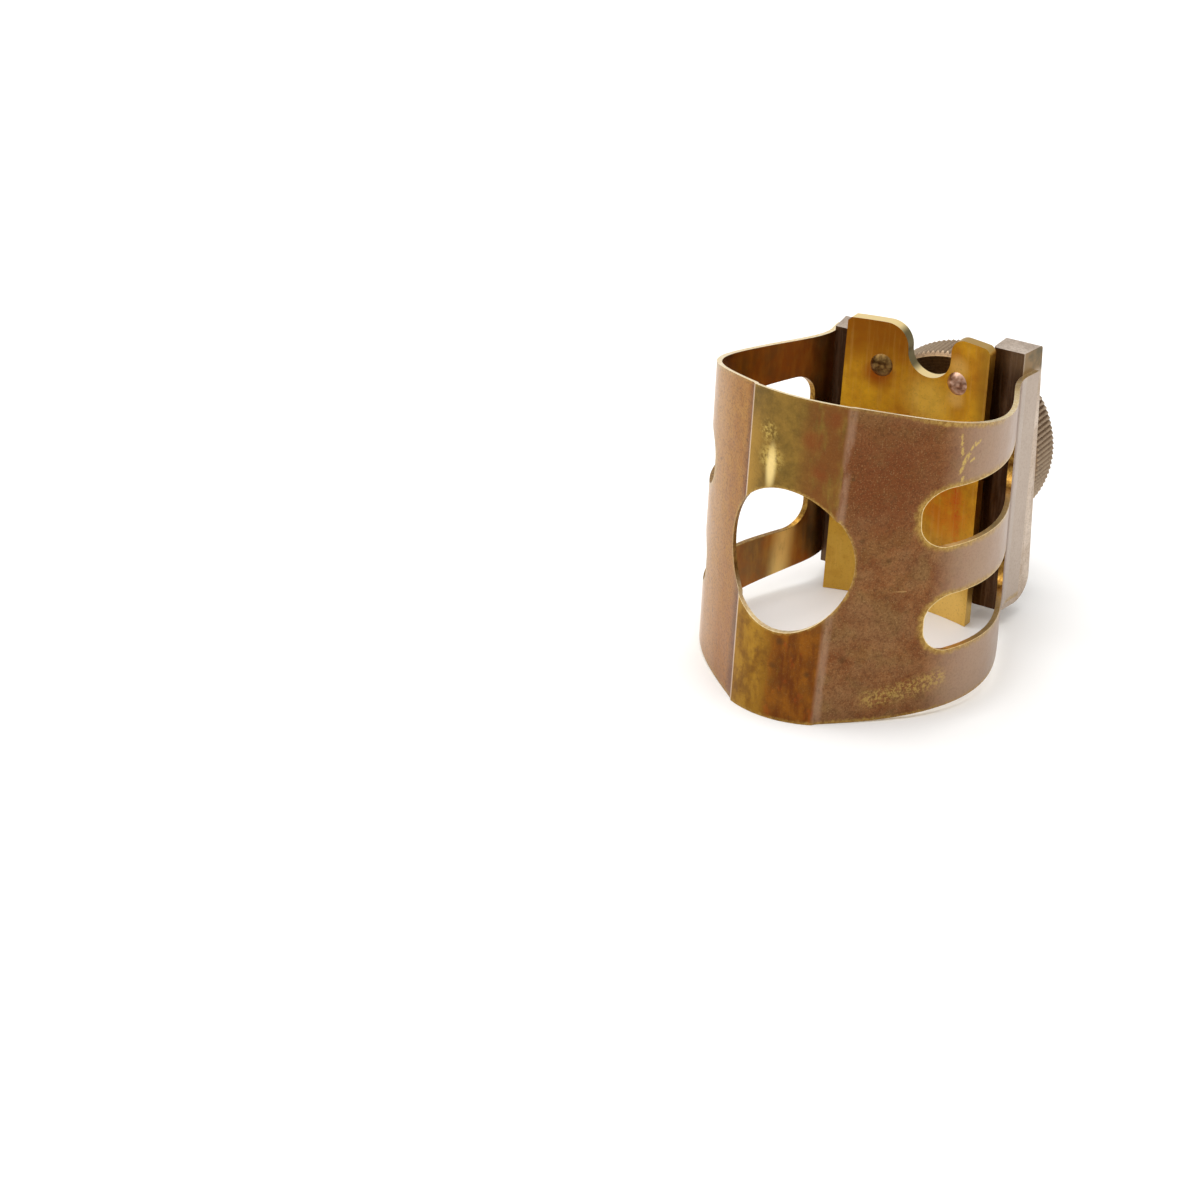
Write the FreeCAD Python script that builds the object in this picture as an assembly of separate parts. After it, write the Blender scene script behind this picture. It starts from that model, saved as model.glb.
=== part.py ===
import FreeCAD
import Part
import math
import os

os.makedirs("parts", exist_ok=True)

V = FreeCAD.Vector

# Frame: X across the mouthpiece, -Y towards the raised front panel, +Y towards the thumbscrew,
# +Z along the mouthpiece to its tip. The origin is the centre of the mouthpiece opening at the
# level of the wrap band's lower edge. All lengths are millimetres and all angles degrees.

# wrap band
SHEET_T = 0.45              # brass sheet thickness
BAND_H = 28.6               # height of the band at the front panel
PANEL_Y_BOTTOM = -13.75     # outer face of the panel on its centre line at the lower edge
PANEL_Y_TOP = -11.35        # outer face of the panel on its centre line at the upper edge
PANEL_BULGE = 0.95          # how far the panel's centre line stands out from its two creases
PANEL_HALF_BOTTOM = 3.9     # half width of the raised panel at the lower edge
PANEL_HALF_TOP = 4.4        # half width of the raised panel at the upper edge
PANEL_RAISE = 0.38          # step between the panel and the wall beside it
CREASE_W = 0.28             # width of the sloping step
BAND_END_Y = 15.1           # where the soldered ends stop on the rails
RAIL_X_FRONT = 9.15         # outer front corner of the rails, where the walls meet them
RAIL_Y_FRONT = 13.2
WALL_BOTTOM = [(7.6, -9.5), (11.3, -5.4), (13.1, -1.2), (13.2, 2.6), (12.0, 6.5),
               (RAIL_X_FRONT + 1.35, RAIL_Y_FRONT - 3.2), (RAIL_X_FRONT + 0.6, RAIL_Y_FRONT - 1.2)]
WALL_TOP = [(7.8, -8.1), (11.3, -4.5), (12.6, -1.0), (12.7, 2.6), (11.75, 6.6),
            (RAIL_X_FRONT + 1.2, RAIL_Y_FRONT - 3.2), (RAIL_X_FRONT + 0.55, RAIL_Y_FRONT - 1.2)]
UPPER_EDGE_DROP = [(-11.4, 0.0), (-8.1, 0.8), (-4.5, 1.85), (-0.5, 2.85), (3.8, 3.65), (8.5, 4.1)]
LOWER_EDGE = [(-13.8, 0.0), (-9.5, 0.1), (-5.4, 0.45), (0.3, 0.9), (5.0, 1.4), (9.5, 1.95)]
UPPER_EDGE_END_DROP = 4.3   # how far below BAND_H the band lies on the rails
LOWER_EDGE_END_Z = 2.4      # lower edge where the band lies on the rails

# openings of the band
HOLE_HALF_H = 6.3           # big hole in the panel, round before the sheet was bent
HOLE_HALF_W = 5.75          # so it is narrower across than along the mouthpiece
HOLE_Z = BAND_H * 0.498
SLOT_FRONT_Y = [-6.2, -6.7]     # front ends of the lower and the upper slots
SLOT_BACK_Y = 10.8
SLOT_Z = [(BAND_H * 0.5455, BAND_H * 0.7325), (BAND_H * 0.2063, BAND_H * 0.3881)]
SLOT_CORNER_R = 2.2

# end rails
RAIL_X_INNER = 6.2
RAIL_SPLAY = 0.15           # how much the outer face moves out for each mm towards the back
RAIL_Y_BACK_TOP = 16.05     # the rails grow deeper towards their lower ends
RAIL_Y_BACK_BOTTOM = 17.6
RAIL_Z_BOTTOM = 1.4
RAIL_Z_TOP = {"rail_left": BAND_H - 3.9, "rail_right": BAND_H - 2.3}    # not soldered quite level
RAIL_EDGE_R = 0.3
RAIL_TOE_R = 2.2

# thumbscrew
SCREW_Z = BAND_H * 0.465
SCREW_R = 2.0               # major radius of the thread
SCREW_PITCH = 0.7
THREAD_DEPTH = 0.36
BUSH_CLEARANCE = 0.06       # radial play of the thread in the bush
HEAD_R = 8.85
HEAD_T = 4.0
HEAD_RIM = 0.45             # chamfer of the head's two rims
KNURL_COUNT = 112
KNURL_DEPTH = 0.26
NECK_R = 1.1
NECK_CLEARANCE = 0.08
BUTTON_R = 1.9
BUTTON_T = 0.55

# pressure plate and its strap
PLATE_HALF_TOP = 6.9
PLATE_FOOT_LEFT = 7.55      # the plate sits a little askew, so its foot reaches further left
PLATE_FOOT_RIGHT = 6.75
PLATE_H = BAND_H - 1.8
PLATE_T = 1.1
PLATE_FACE_Y = 12.1         # reed side of the plate on the centre line
PLATE_CURVE_R = 22.8        # hollow of the reed side
NOTCH_X = 0.75
NOTCH_R = 2.1
NOTCH_Z = PLATE_H - 2.2
LOBE_R_LEFT = 2.1
LOBE_R_RIGHT = 1.35
STRAP_T = 0.5
POCKET = 0.8                # room for the screw button between plate and strap
STRAP_HALF = 2.7
RIVET_X = 3.7
RIVET_Z = PLATE_H - 4.1
RIVET_R = 0.55
DOME_R = 1.05
DOME_H = 0.48
TAIL_R = 0.95
TAIL_T = 0.3

# bridge and bush
BRIDGE_HALF = 8.7
BRIDGE_T = 1.3
BRIDGE_Z = (SCREW_Z - 4.3, SCREW_Z + 4.3)
BUSH_R = 3.3
BUSH_FRONT_GAP = 0.75       # free space between the strap and the bush as drawn
HEAD_GAP = 1.4              # free space between the bridge and the head as drawn


def export(node, shape):
    shape = shape.removeSplitter()
    print(node, shape.isValid(), round(shape.Volume, 2), "solids", len(shape.Solids))
    shape.exportStep("parts/" + node + ".step")
    return shape


def spline_edge(points, start=None, end=None):
    curve = Part.BSplineCurve()
    count = len(points)
    params = [i / (count - 1.0) for i in range(count)]
    if start is None:
        curve.interpolate(Points=points, Parameters=params)
    else:
        curve.interpolate(Points=points, Parameters=params, InitialTangent=start, FinalTangent=end)
    return curve


def y_cylinder(radius, y0, y1, x, z):
    return Part.makeCylinder(radius, y1 - y0, V(x, y0, z), V(0, 1, 0))


def rail_outer_x(y):
    """Outer face of the right rail at depth y."""
    return RAIL_X_FRONT + RAIL_SPLAY * (y - RAIL_Y_FRONT)


def rail_back_y(z):
    """Back face of the rails at height z."""
    share = (z - RAIL_Z_BOTTOM) / (RAIL_Z_TOP["rail_right"] - RAIL_Z_BOTTOM)
    return RAIL_Y_BACK_BOTTOM + (RAIL_Y_BACK_TOP - RAIL_Y_BACK_BOTTOM) * share


def wall_points(z, stations, panel_half, panel_y):
    """Outer and inner points of one side wall at height z, from the crease to the rail."""
    foot = V(panel_half + CREASE_W, panel_y + PANEL_BULGE + PANEL_RAISE, z)
    knots = [foot] + [V(x, y, z) for x, y in stations] + [V(RAIL_X_FRONT + SHEET_T, RAIL_Y_FRONT, z)]
    curve = Part.BSplineCurve()
    curve.interpolate(Points=knots)
    outer = []
    inner = []
    steps = 26
    for i in range(steps + 1):
        u = curve.FirstParameter + (curve.LastParameter - curve.FirstParameter) * i / steps
        p = curve.value(u)
        t = curve.tangent(u)[0]
        inward = V(-t.y, t.x, 0)
        outer.append(p)
        inner.append(p + inward * SHEET_T)
    inner[-1] = V(RAIL_X_FRONT, RAIL_Y_FRONT, z)
    return outer, inner


def band_wire(z, stations, panel_half, panel_y):
    """Closed plan outline of the bent sheet at height z."""
    outer, inner = wall_points(z, stations, panel_half, panel_y)
    crease_y = panel_y + PANEL_BULGE
    corner_out = V(panel_half, crease_y, z)
    corner_in = V(panel_half - 0.1, crease_y + SHEET_T, z)
    middle_out = V(0, panel_y, z)
    middle_in = V(0, panel_y + SHEET_T, z)
    end_x = rail_outer_x(BAND_END_Y)
    end_out = V(end_x + SHEET_T, BAND_END_Y, z)
    end_in = V(end_x, BAND_END_Y, z)

    def flip(p):
        return V(-p.x, p.y, p.z)

    right_outer = spline_edge(outer).toShape()
    right_inner = spline_edge(list(reversed(inner))).toShape()
    left_outer = spline_edge([flip(p) for p in reversed(outer)]).toShape()
    left_inner = spline_edge([flip(p) for p in inner]).toShape()
    edges = [
        Part.Arc(flip(corner_out), middle_out, corner_out).toShape(),
        Part.makeLine(corner_out, outer[0]),
        right_outer,
        Part.makeLine(outer[-1], end_out),
        Part.makeLine(end_out, end_in),
        Part.makeLine(end_in, inner[-1]),
        right_inner,
        Part.makeLine(inner[0], corner_in),
        Part.Arc(corner_in, middle_in, flip(corner_in)).toShape(),
        Part.makeLine(flip(corner_in), flip(inner[0])),
        left_inner,
        Part.makeLine(flip(inner[-1]), flip(end_in)),
        Part.makeLine(flip(end_in), flip(end_out)),
        Part.makeLine(flip(end_out), flip(outer[-1])),
        left_outer,
        Part.makeLine(flip(outer[0]), flip(corner_out)),
    ]
    return Part.Wire(edges)


def at_height(z):
    """Wall stations and panel sizes interpolated between the two edges of the band."""
    f = z / BAND_H
    stations = [(a[0] + (b[0] - a[0]) * f, a[1] + (b[1] - a[1]) * f)
                for a, b in zip(WALL_BOTTOM, WALL_TOP)]
    half = PANEL_HALF_BOTTOM + (PANEL_HALF_TOP - PANEL_HALF_BOTTOM) * f
    panel_y = PANEL_Y_BOTTOM + (PANEL_Y_TOP - PANEL_Y_BOTTOM) * f
    return stations, half, panel_y


def edge_cutter(points, end_z, far_z):
    """Block above the upper edge or below the lower edge of the band."""
    front = -20.0
    first = V(0, points[0][0], points[0][1])
    track = [V(0, y, z) for y, z in points] + [V(0, RAIL_Y_FRONT, end_z)]
    edge = spline_edge(track).toShape()
    back = V(0, 20.0, end_z)
    outline = [
        Part.makeLine(V(0, front, first.z), first),
        edge,
        Part.makeLine(track[-1], back),
        Part.makeLine(back, V(0, 20.0, far_z)),
        Part.makeLine(V(0, 20.0, far_z), V(0, front, far_z)),
        Part.makeLine(V(0, front, far_z), V(0, front, first.z)),
    ]
    face = Part.Face(Part.Wire(outline))
    face.translate(V(-20, 0, 0))
    return face.extrude(V(40, 0, 0))


def slot_cutter(side, y0, y1, z0, z1):
    """Round-cornered prism that cuts one slot through one side wall."""
    depth = 11.0
    box = Part.makeBox(depth, y1 - y0, z1 - z0, V(5.5, y0, z0))
    along_x = [e for e in box.Edges if abs(e.tangentAt(e.FirstParameter).x) > 0.9]
    box = box.makeFillet(SLOT_CORNER_R, along_x)
    if side < 0:
        box = box.mirror(V(0, 0, 0), V(1, 0, 0))
    return box


def hole_cutter():
    """Oval prism that cuts the big hole through the front of the band."""
    rim = Part.Ellipse(V(0, 0, 0), HOLE_HALF_H, HOLE_HALF_W).toShape()
    prism = Part.Face(Part.Wire([rim])).extrude(V(0, 0, 15.0))
    prism.rotate(V(0, 0, 0), V(0, 0, 1), 90)
    prism.rotate(V(0, 0, 0), V(1, 0, 0), 90)
    prism.translate(V(0, -5.0, HOLE_Z))
    return prism


def make_band():
    low = at_height(-0.5)
    high = at_height(BAND_H + 0.5)
    band = Part.makeLoft([band_wire(-0.5, *low), band_wire(BAND_H + 0.5, *high)], True, True)
    upper_edge = [(y, BAND_H - drop) for y, drop in UPPER_EDGE_DROP]
    band = band.cut(edge_cutter(upper_edge, BAND_H - UPPER_EDGE_END_DROP, BAND_H + 12.0))
    band = band.cut(edge_cutter(LOWER_EDGE, LOWER_EDGE_END_Z, -10.0))
    band = band.cut(hole_cutter())
    for (z0, z1), y0 in zip(SLOT_Z, reversed(SLOT_FRONT_Y)):
        for side in (-1, 1):
            band = band.cut(slot_cutter(side, y0, SLOT_BACK_Y, z0, z1))
    return band


def make_rail(top):
    """End rail for the right-hand side; its lower back end is rounded."""
    sections = []
    for z in (RAIL_Z_BOTTOM, top):
        back = rail_back_y(z)
        plan = [(RAIL_X_INNER, RAIL_Y_FRONT), (RAIL_X_FRONT, RAIL_Y_FRONT),
                (rail_outer_x(back), back), (RAIL_X_INNER, back)]
        sections.append(Part.makePolygon([V(x, y, z) for x, y in plan + plan[:1]]))
    box = Part.makeLoft(sections, True, True)
    toe = []
    upright = []
    for e in box.Edges:
        c = e.CenterOfMass
        if abs(c.z - RAIL_Z_BOTTOM) < 1e-6 and abs(c.y - RAIL_Y_BACK_BOTTOM) < 1e-6:
            toe.append(e)
    box = box.makeFillet(RAIL_TOE_R, toe)
    for e in box.Edges:
        c = e.CenterOfMass
        if abs(c.y - RAIL_Y_FRONT) < 1e-6 and abs(e.tangentAt(e.FirstParameter).z) > 0.9:
            if abs(c.x - RAIL_X_INNER) < 1e-6:
                upright.append(e)
        if abs(c.z - top) < 1e-6 and abs(c.y - rail_back_y(top)) < 1e-6:
            upright.append(e)
    return box.makeFillet(RAIL_EDGE_R, upright)


def make_plate_blank():
    """Outline of the plate with its notch, seen along Y, as a deep prism."""
    left_lobe = NOTCH_X - NOTCH_R - LOBE_R_LEFT
    right_lobe = NOTCH_X + NOTCH_R + LOBE_R_RIGHT
    half_t = PLATE_HALF_TOP
    c45 = math.cos(math.radians(45))

    def p(x, z):
        return V(x, 0, z)

    left_z = PLATE_H - LOBE_R_LEFT
    right_z = PLATE_H - LOBE_R_RIGHT
    edges = [
        Part.makeLine(p(-PLATE_FOOT_LEFT, 0), p(PLATE_FOOT_RIGHT, 0)),
        Part.makeLine(p(PLATE_FOOT_RIGHT, 0), p(half_t, PLATE_H - 0.6)),
        Part.Arc(p(half_t, PLATE_H - 0.6), p(half_t - 0.18, PLATE_H - 0.18),
                 p(half_t - 0.6, PLATE_H)).toShape(),
        Part.makeLine(p(half_t - 0.6, PLATE_H), p(right_lobe, PLATE_H)),
        Part.Arc(p(right_lobe, PLATE_H),
                 p(right_lobe - LOBE_R_RIGHT * c45, right_z + LOBE_R_RIGHT * c45),
                 p(NOTCH_X + NOTCH_R, right_z)).toShape(),
        Part.makeLine(p(NOTCH_X + NOTCH_R, right_z), p(NOTCH_X + NOTCH_R, NOTCH_Z)),
        Part.Arc(p(NOTCH_X + NOTCH_R, NOTCH_Z), p(NOTCH_X, NOTCH_Z - NOTCH_R),
                 p(NOTCH_X - NOTCH_R, NOTCH_Z)).toShape(),
        Part.makeLine(p(NOTCH_X - NOTCH_R, NOTCH_Z), p(NOTCH_X - NOTCH_R, left_z)),
        Part.Arc(p(NOTCH_X - NOTCH_R, left_z),
                 p(left_lobe + LOBE_R_LEFT * c45, left_z + LOBE_R_LEFT * c45),
                 p(left_lobe, PLATE_H)).toShape(),
        Part.makeLine(p(left_lobe, PLATE_H), p(-half_t + 0.3, PLATE_H)),
        Part.makeLine(p(-half_t + 0.3, PLATE_H), p(-half_t, PLATE_H - 0.3)),
        Part.makeLine(p(-half_t, PLATE_H - 0.3), p(-PLATE_FOOT_LEFT, 0)),
    ]
    edges = [e for e in edges if e.Length > 1e-6]
    return Part.Face(Part.Wire(edges)).extrude(V(0, 30, 0))


def shell(r0, r1, z0, z1):
    """Part of a round wall about the plate's axis of curvature."""
    axis_y = PLATE_FACE_Y - PLATE_CURVE_R
    big = Part.makeCylinder(r1, z1 - z0, V(0, axis_y, z0))
    small = Part.makeCylinder(r0, z1 - z0, V(0, axis_y, z0))
    return big.cut(small)


def rivet_bore(side, radius, r0, r1):
    """Cylinder square to the plate at one rivet's place."""
    axis_y = PLATE_FACE_Y - PLATE_CURVE_R
    angle = math.degrees(math.asin(RIVET_X / PLATE_CURVE_R))
    bore = y_cylinder(radius, axis_y + r0, axis_y + r1, 0, RIVET_Z)
    bore.rotate(V(0, axis_y, 0), V(0, 0, 1), -side * angle)
    return bore


def make_rivet(side, solids):
    """Rivet with a domed head on the reed side and a flat tail behind the strap."""
    axis_y = PLATE_FACE_Y - PLATE_CURVE_R
    face = axis_y + PLATE_CURVE_R
    back = face + PLATE_T + STRAP_T
    sphere_r = (DOME_R ** 2 + DOME_H ** 2) / (2 * DOME_H)
    dome = Part.makeSphere(sphere_r, V(0, face - DOME_H + sphere_r, RIVET_Z))
    dome = dome.common(y_cylinder(DOME_R + 1, face - 2, face + 0.02, 0, RIVET_Z))
    stem = y_cylinder(RIVET_R, face, back, 0, RIVET_Z)
    tail = y_cylinder(TAIL_R, back - 0.03, back + TAIL_T, 0, RIVET_Z)
    rivet = dome.fuse([stem, tail])
    angle = math.degrees(math.asin(RIVET_X / PLATE_CURVE_R))
    rivet.rotate(V(0, axis_y, 0), V(0, 0, 1), -side * angle)
    for solid in solids:
        rivet = rivet.cut(solid)
    return rivet


def make_strap():
    """Thin strip behind the plate: a riveted cross piece, a joggle and a stem with a hole."""
    r_back = PLATE_CURVE_R + PLATE_T
    cross_half = RIVET_X + 1.7
    cross = shell(r_back, r_back + STRAP_T, RIVET_Z - 1.9, RIVET_Z + 1.7)
    cross = cross.common(Part.makeBox(2 * cross_half, 30, 40, V(-cross_half, 0, 0)))
    notch = y_cylinder(NOTCH_R + 0.5, 0, 30, NOTCH_X, NOTCH_Z)
    cross = cross.cut(notch)
    joggle_top = RIVET_Z - 1.9
    riser = shell(r_back, r_back + POCKET + STRAP_T, joggle_top - STRAP_T, joggle_top + 0.001)
    stem_bottom = SCREW_Z - STRAP_HALF - 0.9
    stem = shell(r_back + POCKET, r_back + POCKET + STRAP_T, stem_bottom, joggle_top)
    strip = riser.fuse(stem)
    strip = strip.common(Part.makeBox(2 * STRAP_HALF, 30, 40, V(-STRAP_HALF, 0, 0)))
    strap = cross.fuse(strip)
    hole_r = NECK_R + NECK_CLEARANCE
    return strap.cut(y_cylinder(hole_r, 0, 30, 0, SCREW_Z))


def make_threaded_shank(y0, y1, head_y):
    """Shank with a turned helical groove up to the head and a plain end inside it."""
    core_r = SCREW_R - THREAD_DEPTH
    length = y1 - y0
    turns_len = head_y - y0 + SCREW_PITCH
    helix = Part.makeHelix(SCREW_PITCH, turns_len, SCREW_R)
    half_w = SCREW_PITCH * 0.40
    a = V(SCREW_R + 0.05, 0, -half_w)
    b = V(SCREW_R + 0.05, 0, half_w)
    c = V(core_r, 0, 0)
    tooth = Part.Wire([Part.makeLine(a, b), Part.makeLine(b, c), Part.makeLine(c, a)])
    groove = Part.Wire(helix).makePipeShell([tooth], True, True)
    rod = Part.makeCylinder(SCREW_R, length, V(0, 0, 0))
    groove.translate(V(0, 0, -SCREW_PITCH))
    limit = Part.makeCylinder(SCREW_R + 1, head_y - y0, V(0, 0, -0.0))
    groove = groove.common(limit)
    rod = rod.cut(groove)
    rod.rotate(V(0, 0, 0), V(1, 0, 0), -90)
    rod.translate(V(0, y0, SCREW_Z))
    return rod


def make_head(y0, y1, bore_depth):
    """Knurled disc with chamfered rims."""
    pts = []
    for i in range(2 * KNURL_COUNT):
        angle = math.pi * i / KNURL_COUNT
        r = HEAD_R if i % 2 == 0 else HEAD_R - KNURL_DEPTH
        pts.append(V(r * math.cos(angle), y0, SCREW_Z + r * math.sin(angle)))
    pts.append(pts[0])
    disc = Part.Face(Part.makePolygon(pts)).extrude(V(0, y1 - y0, 0))
    profile = [V(0, y0, 0), V(HEAD_R - HEAD_RIM, y0, 0), V(HEAD_R + 0.01, y0 + HEAD_RIM, 0),
               V(HEAD_R + 0.01, y1 - HEAD_RIM, 0), V(HEAD_R - HEAD_RIM, y1, 0), V(0, y1, 0), V(0, y0, 0)]
    turned = Part.Face(Part.makePolygon(profile)).revolve(V(0, 0, 0), V(0, 1, 0), 360)
    turned.translate(V(0, 0, SCREW_Z))
    disc = disc.common(turned)
    return disc.cut(y_cylinder(SCREW_R, y0 - 1, y0 + bore_depth, 0, SCREW_Z))


# levels along Y, from the plate's back to the head
plate_back = PLATE_FACE_Y + PLATE_T
button_y0 = plate_back + 0.1
button_y1 = button_y0 + BUTTON_T
strap_back = plate_back + POCKET + STRAP_T
shank_y0 = strap_back + 0.1
bridge_y0 = rail_back_y(BRIDGE_Z[1])
bridge_y1 = bridge_y0 + BRIDGE_T
bush_y0 = strap_back + BUSH_FRONT_GAP
head_y0 = bridge_y1 + HEAD_GAP
head_y1 = head_y0 + HEAD_T
bore_depth = HEAD_T - 1.0

band = export("band", make_band())

rail_right = export("rail_right", make_rail(RAIL_Z_TOP["rail_right"]))
rail_left = make_rail(RAIL_Z_TOP["rail_left"]).mirror(V(0, 0, 0), V(1, 0, 0))
rail_left = export("rail_left", rail_left)

plate = make_plate_blank().common(shell(PLATE_CURVE_R, PLATE_CURVE_R + PLATE_T, -1, PLATE_H + 1))
strap = make_strap()
for side in (-1, 1):
    tool = rivet_bore(side, RIVET_R, PLATE_CURVE_R - 1, PLATE_CURVE_R + PLATE_T + STRAP_T + 1)
    plate = plate.cut(tool)
    strap = strap.cut(tool)
plate = export("pressure_plate", plate)
strap = export("plate_strap", strap)
export("rivet_left", make_rivet(-1, [plate, strap]))
export("rivet_right", make_rivet(1, [plate, strap]))

bush_bore = SCREW_R + BUSH_CLEARANCE
bridge = Part.makeBox(2 * BRIDGE_HALF, BRIDGE_T, BRIDGE_Z[1] - BRIDGE_Z[0],
                      V(-BRIDGE_HALF, bridge_y0, BRIDGE_Z[0]))
ends = [e for e in bridge.Edges if abs(e.tangentAt(e.FirstParameter).y) > 0.9]
bridge = bridge.makeFillet(1.2, ends)
bridge = bridge.cut(y_cylinder(BUSH_R, bridge_y0 - 1, bridge_y1 + 1, 0, SCREW_Z))
bridge = bridge.cut(rail_right).cut(rail_left)
export("bridge", bridge)
bush = y_cylinder(BUSH_R, bush_y0, bridge_y1, 0, SCREW_Z)
bush = bush.cut(y_cylinder(bush_bore, bush_y0 - 1, bridge_y1 + 1, 0, SCREW_Z))
export("screw_bush", bush)

button = y_cylinder(BUTTON_R, button_y0, button_y1, 0, SCREW_Z)
button = button.fuse(y_cylinder(NECK_R, button_y1, shank_y0, 0, SCREW_Z))
export("screw_button", button)
export("screw_shank", make_threaded_shank(shank_y0, head_y0 + bore_depth, head_y0))
export("screw_head", make_head(head_y0, head_y1, bore_depth))
print("travel forward", HEAD_GAP, "levels", round(bush_y0, 3), round(head_y0, 3), round(head_y1, 3))
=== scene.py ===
# %% [markdown]
# # A saxophone ligature
# A ligature is the bent brass clamp that holds the reed on a saxophone's mouthpiece. A band of thin
# sheet wraps round, its two ends are soldered to upright rails, and a thumbscrew behind them pushes a
# curved plate against the reed.
# The shapes come from a finished model, so this lesson is about looks. Old brass is never one colour:
# it tarnishes brown and olive, stays gold where fingers and edges rub, and turns grey where it is hard
# to reach. Each finish below is built from a few simple ideas: where on the piece am I, how close is
# the nearest edge, and how blotchy is the metal here.

# %% The finished shapes
import math

import bpy
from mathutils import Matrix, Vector

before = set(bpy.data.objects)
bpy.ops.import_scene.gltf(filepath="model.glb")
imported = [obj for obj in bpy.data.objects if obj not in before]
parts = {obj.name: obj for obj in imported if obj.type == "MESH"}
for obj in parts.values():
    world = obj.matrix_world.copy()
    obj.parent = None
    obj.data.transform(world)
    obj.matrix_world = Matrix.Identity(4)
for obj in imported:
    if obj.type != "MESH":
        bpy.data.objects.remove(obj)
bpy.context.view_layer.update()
print("pieces loaded:", ", ".join(sorted(parts)))

# %% [markdown]
# ## Seeing it
# Small bright metal things are best seen in plain white surroundings, because metal shows only what it
# reflects. A long lens far back keeps the band from looking stretched. The camera stands in front, to the
# right and above, so that it looks through the big hole and down into the opening at once.

# %% Camera
MM = 0.001
CAMERA_PLACE_MM = (101.93, -209.43, 122.68)
CAMERA_TURN_DEG = (63.031, -1.439, 31.947)
camera_data = bpy.data.cameras.new("view_lens")
camera_data.lens = 89.12
camera_data.sensor_width = 36.0
camera_data.clip_start = 0.01
camera = bpy.data.objects.new("view_camera", camera_data)
camera.location = Vector(CAMERA_PLACE_MM) * MM
camera.rotation_euler = [math.radians(a) for a in CAMERA_TURN_DEG]
bpy.context.scene.collection.objects.link(camera)
bpy.context.scene.camera = camera
bpy.context.scene.view_settings.view_transform = "Standard"
print("camera distance in mm:", round(camera.location.length / MM))

# %% [markdown]
# ## Light
# The light is a bright tent: white all round, with two large soft panels. The tent gives the pale sheen
# where the sheet curves away from the eye. One panel hangs straight overhead, so that light falls through
# the opening on to the floor inside, and a weaker one high on the left gives the shadow its side.

# %% Tent and soft panels
world = bpy.data.worlds.new("white_tent")
world.use_nodes = True
tent = world.node_tree.nodes["Background"]
tent.inputs["Color"].default_value = (1.0, 0.995, 0.985, 1.0)
tent.inputs["Strength"].default_value = 0.87
bpy.context.scene.world = world


def soft_panel(name, place_mm, aim_mm, side_mm, power):
    """One square soft light at a place, turned to face a point."""
    data = bpy.data.lights.new(name, "AREA")
    data.shape = "SQUARE"
    data.size = side_mm * MM
    data.energy = power
    lamp = bpy.data.objects.new(name, data)
    bpy.context.scene.collection.objects.link(lamp)
    lamp.location = Vector(place_mm) * MM
    away = lamp.location - Vector(aim_mm) * MM
    lamp.rotation_euler = away.to_track_quat("Z", "Y").to_euler()
    return lamp


soft_panel("overhead_panel", (-30, 10, 400), (0, 0, 0), 300, 0.9)
soft_panel("high_left_panel", (-260, -120, 330), (0, 0, 12), 220, 0.3)

# %% [markdown]
# ## Floor
# The ligature stands on the lower edges of its band and plate, so the floor is level with them. It is a
# large flat sheet of matt white card, which is all that shows behind the piece.

# %% Floor
FLOOR_SIDE = 4000 * MM
FLOOR_DROP = 0.02 * MM
half = FLOOR_SIDE / 2
floor_mesh = bpy.data.meshes.new("white_card")
corners = [(-half, -half, 0), (half, -half, 0), (half, half, 0), (-half, half, 0)]
floor_mesh.from_pydata([Vector(c) - Vector((0, 0, FLOOR_DROP)) for c in corners], [], [(0, 1, 2, 3)])
floor = bpy.data.objects.new("white_card", floor_mesh)
bpy.context.scene.collection.objects.link(floor)
card = bpy.data.materials.new("matt_card")
card.use_nodes = True
card_skin = card.node_tree.nodes["Principled BSDF"]
card_skin.inputs["Base Color"].default_value = (0.93, 0.925, 0.915, 1)
card_skin.inputs["Roughness"].default_value = 0.55
floor_mesh.materials.append(card)
print("floor side in mm:", round(FLOOR_SIDE / MM))

# %% [markdown]
# ## Tools for mixing a finish
# A finish is a small sum of patterns. These helpers each put one step of the sum on the bench and hand
# back its result, so that a recipe below reads like a list: a cloud of stain, a fade near an edge, one
# colour laid over another. Positions are in millimetres, which are the units a maker thinks in.


# %% Bench helpers
MM_PER_METRE = 1000.0


def new_finish(name, metallic, roughness):
    """An empty metal finish: its bench of steps and its skin, which is the shader."""
    material = bpy.data.materials.new(name)
    material.use_nodes = True
    bench = material.node_tree
    skin = bench.nodes["Principled BSDF"]
    skin.inputs["Metallic"].default_value = metallic
    skin.inputs["Roughness"].default_value = roughness
    return material, bench, skin


def step(bench, kind, settings, feeds):
    """One node with its settings and its inputs, which are numbers or other results."""
    made = bench.nodes.new(kind)
    for key, value in settings.items():
        setattr(made, key, value)
    for key, value in feeds.items():
        socket = made.inputs[key]
        if isinstance(value, bpy.types.NodeSocket):
            bench.links.new(value, socket)
        else:
            socket.default_value = value
    return made


def calc(bench, what, a, b=0.0):
    """Arithmetic on one or two results."""
    return step(bench, "ShaderNodeMath", {"operation": what}, {0: a, 1: b}).outputs[0]


def fade(bench, value, start, end):
    """0 before start and 1 after end, with a soft change between them."""
    settings = {"interpolation_type": "SMOOTHSTEP"}
    feeds = {"Value": value, "From Min": start, "From Max": end}
    if start > end:
        feeds = {"Value": value, "From Min": end, "From Max": start, "To Min": 1.0, "To Max": 0.0}
    return step(bench, "ShaderNodeMapRange", settings, feeds).outputs["Result"]


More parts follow.
